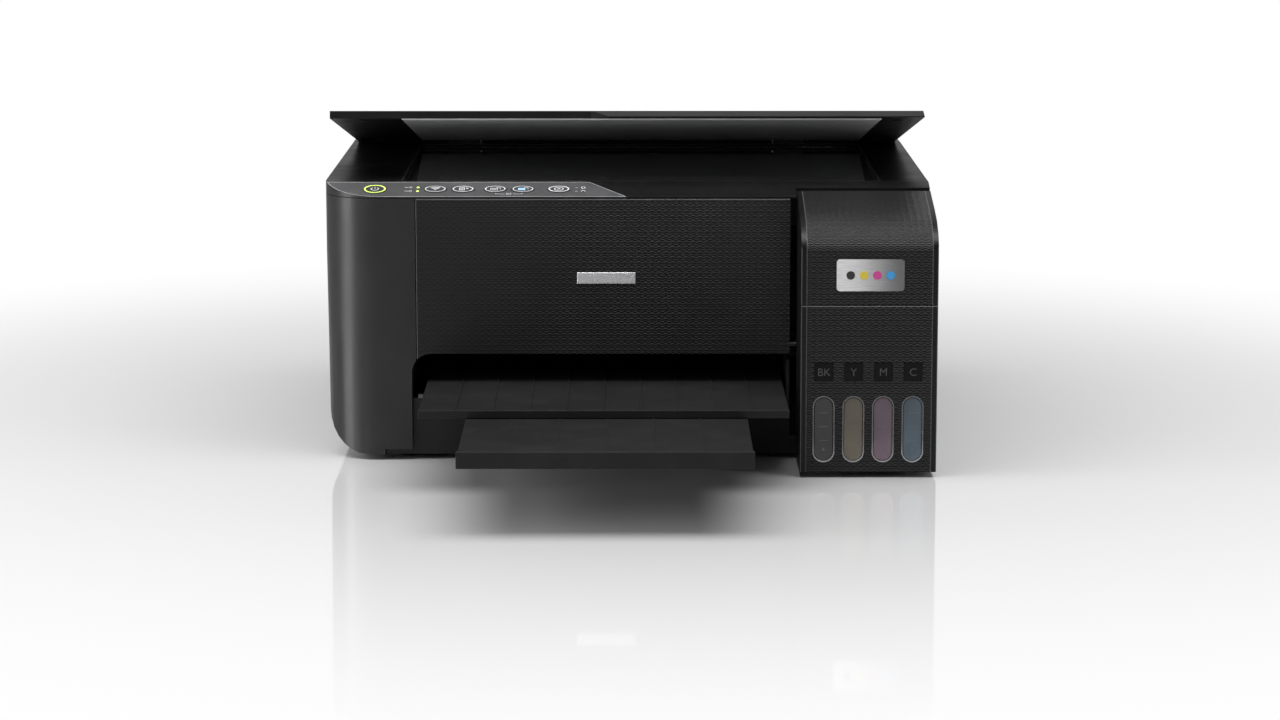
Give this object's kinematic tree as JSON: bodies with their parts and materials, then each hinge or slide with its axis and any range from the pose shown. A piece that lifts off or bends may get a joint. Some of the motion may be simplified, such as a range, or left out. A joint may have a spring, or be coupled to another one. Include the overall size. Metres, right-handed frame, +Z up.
{
  "type": "inkjet printer",
  "caption": "Compact A4 ink-tank printer with flatbed scanner: sloping control strip, side ink-tank unit with four windows, lifting lid and a pull-out paper tray.",
  "frame": {"origin": "on the surface it stands on, under the middle of the whole printer with its tray drawn out", "axes": "+X to the printer's right as seen from the front, +Y towards its rear, +Z up"},
  "size_m": [0.375, 0.516, 0.2143],
  "materials": {
    "satin_black": "semi-matte black moulding, fine grain",
    "ripple_black": "black moulding with a fine rippled texture",
    "moulded_black": "plain black moulding",
    "gloss_black": "glossy black moulding",
    "grey_plastic": "light grey moulding",
    "panel_grey": "smooth dark grey control strip",
    "key_grey": "smooth dark keys with light line symbols",
    "mat_grey": "dark grey pressing mat",
    "scan_glass": "clear flat glass over a dark scanner tub",
    "steel": "zinc-plated steel",
    "rubber": "matte rubber",
    "white_plastic": "natural acetal",
    "board_green": "lacquered circuit board",
    "black_ink": "smoky clear tank with black ink",
    "yellow_ink": "smoky clear tank with yellow ink",
    "magenta_ink": "smoky clear tank with magenta ink",
    "cyan_ink": "smoky clear tank with cyan ink",
    "black_cap": "black filler cap",
    "yellow_cap": "yellow filler cap",
    "magenta_cap": "magenta filler cap",
    "cyan_cap": "cyan filler cap"
  },
  "bodies": {
    "casing": {"left_cover": "satin_black", "right_cover": "satin_black", "rear_cover": "satin_black", "base_pan": "moulded_black", "front_panel": "ripple_black", "foot_front_left": "rubber", "foot_rear_left": "rubber", "foot_front_right": "rubber", "foot_rear_right": "rubber", "tank_housing": "ripple_black", "print_frame": "steel", "carriage_rail": "steel", "carriage_motor": "steel", "timing_belt": "rubber", "feed_motor": "steel", "platen": "moulded_black", "capping_station": "grey_plastic", "power_supply": "moulded_black", "main_board": "board_green", "power_inlet": "moulded_black", "paper_feed_frame": "moulded_black", "ink_tank_black": "black_ink", "ink_tank_yellow": "yellow_ink", "ink_tank_magenta": "magenta_ink", "ink_tank_cyan": "cyan_ink"},
    "scanner_unit": {"scanner_bezel": "gloss_black", "scanner_tub": "moulded_black", "scan_glass": "scan_glass", "control_panel": "panel_grey", "lid_hinge_left": "moulded_black", "lid_hinge_right": "moulded_black"},
    "lid": {"lid_shell": "gloss_black", "lid_mat": "mat_grey"},
    "scan_sensor": {"scan_sensor": "moulded_black"},
    "tank_cover": {"tank_cover": "ripple_black"},
    "print_carriage": {"print_carriage": "moulded_black", "print_head": "steel"},
    "carriage_pulley": {"carriage_pulley": "white_plastic"},
    "idler_pulley": {"idler_pulley": "white_plastic"},
    "feed_roller": {"feed_roller": "steel"},
    "idler_gear": {"idler_gear": "white_plastic"},
    "eject_roller": {"eject_roller": "steel"},
    "pickup_roller": {"pickup_roller": "rubber"},
    "motor_pinion": {"motor_pinion": "white_plastic"},
    "star_wheel_shaft": {"star_wheel_shaft": "steel"},
    "output_tray": {"output_tray": "moulded_black"},
    "tray_extension": {"tray_extension": "moulded_black"},
    "paper_support": {"paper_support": "moulded_black"},
    "feeder_guard": {"feeder_guard": "satin_black"},
    "edge_guide": {"edge_guide": "grey_plastic"},
    "power_button": {"power_button": "key_grey"},
    "wireless_button": {"wireless_button": "key_grey"},
    "status_button": {"status_button": "key_grey"},
    "copy_mono_button": {"copy_mono_button": "key_grey"},
    "copy_color_button": {"copy_color_button": "key_grey"},
    "stop_button": {"stop_button": "key_grey"},
    "tank_cap_black": {"tank_cap_black": "black_cap"},
    "tank_cap_yellow": {"tank_cap_yellow": "yellow_cap"},
    "tank_cap_magenta": {"tank_cap_magenta": "magenta_cap"},
    "tank_cap_cyan": {"tank_cap_cyan": "cyan_cap"}
  },
  "joints": [
    {"name": "scanner_lift", "type": "hinge", "parent": "casing", "child": "scanner_unit", "pos_m": [0, 0.225, 0.167], "axis": [-1, 0, 0], "range_deg": [0, 30]},
    {"name": "lid_swing", "type": "hinge", "parent": "scanner_unit", "child": "lid", "pos_m": [0, 0.223, 0.1742], "axis": [-1, 0, 0], "range_deg": [-9.5, 50.5]},
    {"name": "sensor_travel", "type": "slide", "parent": "scanner_unit", "child": "scan_sensor", "axis": [1, 0, 0], "range_m": [0, 0.288]},
    {"name": "tank_cover_swing", "type": "hinge", "parent": "casing", "child": "tank_cover", "pos_m": [0.146, -0.027, 0.1595], "axis": [-1, 0, 0], "range_deg": [0, 75]},
    {"name": "tank_cap_black_swing", "type": "hinge", "parent": "casing", "child": "tank_cap_black", "pos_m": [0.11911, -0.041, 0.0982], "axis": [-1, 0, 0], "range_deg": [0, 90]},
    {"name": "tank_cap_yellow_swing", "type": "hinge", "parent": "casing", "child": "tank_cap_yellow", "pos_m": [0.13703, -0.041, 0.0982], "axis": [-1, 0, 0], "range_deg": [0, 90]},
    {"name": "tank_cap_magenta_swing", "type": "hinge", "parent": "casing", "child": "tank_cap_magenta", "pos_m": [0.15496, -0.041, 0.0982], "axis": [-1, 0, 0], "range_deg": [0, 90]},
    {"name": "tank_cap_cyan_swing", "type": "hinge", "parent": "casing", "child": "tank_cap_cyan", "pos_m": [0.17289, -0.041, 0.0982], "axis": [-1, 0, 0], "range_deg": [0, 90]},
    {"name": "carriage_travel", "type": "slide", "parent": "casing", "child": "print_carriage", "axis": [1, 0, 0], "range_m": [-0.263, 0]},
    {"name": "carriage_pulley_turn", "type": "hinge", "parent": "casing", "child": "carriage_pulley", "pos_m": [0.165, 0.113, 0.118], "axis": [0, 1, 0], "continuous": true},
    {"name": "idler_pulley_turn", "type": "hinge", "parent": "casing", "child": "idler_pulley", "pos_m": [-0.155, 0.113, 0.118], "axis": [0, 1, 0], "continuous": true},
    {"name": "feed_turn", "type": "hinge", "parent": "casing", "child": "feed_roller", "pos_m": [0, 0.107, 0.061], "axis": [1, 0, 0], "continuous": true},
    {"name": "idler_gear_turn", "type": "hinge", "parent": "casing", "child": "idler_gear", "pos_m": [0, 0.0725, 0.0605], "axis": [1, 0, 0], "continuous": true},
    {"name": "eject_turn", "type": "hinge", "parent": "casing", "child": "eject_roller", "pos_m": [0, 0.042, 0.06], "axis": [1, 0, 0], "continuous": true},
    {"name": "pinion_turn", "type": "hinge", "parent": "casing", "child": "motor_pinion", "pos_m": [0, 0.1275, 0.0675], "axis": [1, 0, 0], "continuous": true},
    {"name": "pickup_turn", "type": "hinge", "parent": "casing", "child": "pickup_roller", "pos_m": [0, 0.192, 0.085], "axis": [1, 0, 0], "continuous": true},
    {"name": "star_wheel_turn", "type": "hinge", "parent": "casing", "child": "star_wheel_shaft", "pos_m": [0, 0.042, 0.0704], "axis": [1, 0, 0], "continuous": true},
    {"name": "power_button_press", "type": "slide", "parent": "scanner_unit", "child": "power_button", "axis": [0, 0.237, -0.9715], "range_m": [0, 0.0008], "stiffness_N_per_m": 1500},
    {"name": "wireless_button_press", "type": "slide", "parent": "scanner_unit", "child": "wireless_button", "axis": [0, 0.237, -0.9715], "range_m": [0, 0.0008], "stiffness_N_per_m": 1500},
    {"name": "status_button_press", "type": "slide", "parent": "scanner_unit", "child": "status_button", "axis": [0, 0.237, -0.9715], "range_m": [0, 0.0008], "stiffness_N_per_m": 1500},
    {"name": "copy_mono_button_press", "type": "slide", "parent": "scanner_unit", "child": "copy_mono_button", "axis": [0, 0.237, -0.9715], "range_m": [0, 0.0008], "stiffness_N_per_m": 1500},
    {"name": "copy_color_button_press", "type": "slide", "parent": "scanner_unit", "child": "copy_color_button", "axis": [0, 0.237, -0.9715], "range_m": [0, 0.0008], "stiffness_N_per_m": 1500},
    {"name": "stop_button_press", "type": "slide", "parent": "scanner_unit", "child": "stop_button", "axis": [0, 0.237, -0.9715], "range_m": [0, 0.0008], "stiffness_N_per_m": 1500},
    {"name": "tray_slide", "type": "slide", "parent": "casing", "child": "output_tray", "axis": [0, 1, 0], "range_m": [0, 0.11]},
    {"name": "extension_slide", "type": "slide", "parent": "output_tray", "child": "tray_extension", "axis": [0, 1, 0], "range_m": [0, 0.115]},
    {"name": "support_slide", "type": "slide", "parent": "casing", "child": "paper_support", "axis": [0, 0.2588, 0.9659], "range_m": [0, 0.08]},
    {"name": "guard_swing", "type": "hinge", "parent": "casing", "child": "feeder_guard", "pos_m": [-0.015, 0.2345, 0.1692], "axis": [1, 0, 0], "range_deg": [0, 65]},
    {"name": "guide_slide", "type": "slide", "parent": "casing", "child": "edge_guide", "axis": [1, 0, 0], "range_m": [0, 0.1]}
  ],
  "couplings": [
    {"joint": "carriage_pulley_turn", "follows": "carriage_travel", "rad_per_m": -128.2},
    {"joint": "idler_pulley_turn", "follows": "carriage_travel", "rad_per_m": -128.2},
    {"joint": "idler_gear_turn", "follows": "feed_turn", "ratio": -0.85714},
    {"joint": "eject_turn", "follows": "feed_turn", "ratio": 1.3333},
    {"joint": "pinion_turn", "follows": "feed_turn", "ratio": -2.4},
    {"joint": "pickup_turn", "follows": "feed_turn", "ratio": 0.39286},
    {"joint": "star_wheel_turn", "follows": "feed_turn", "ratio": -2}
  ]
}
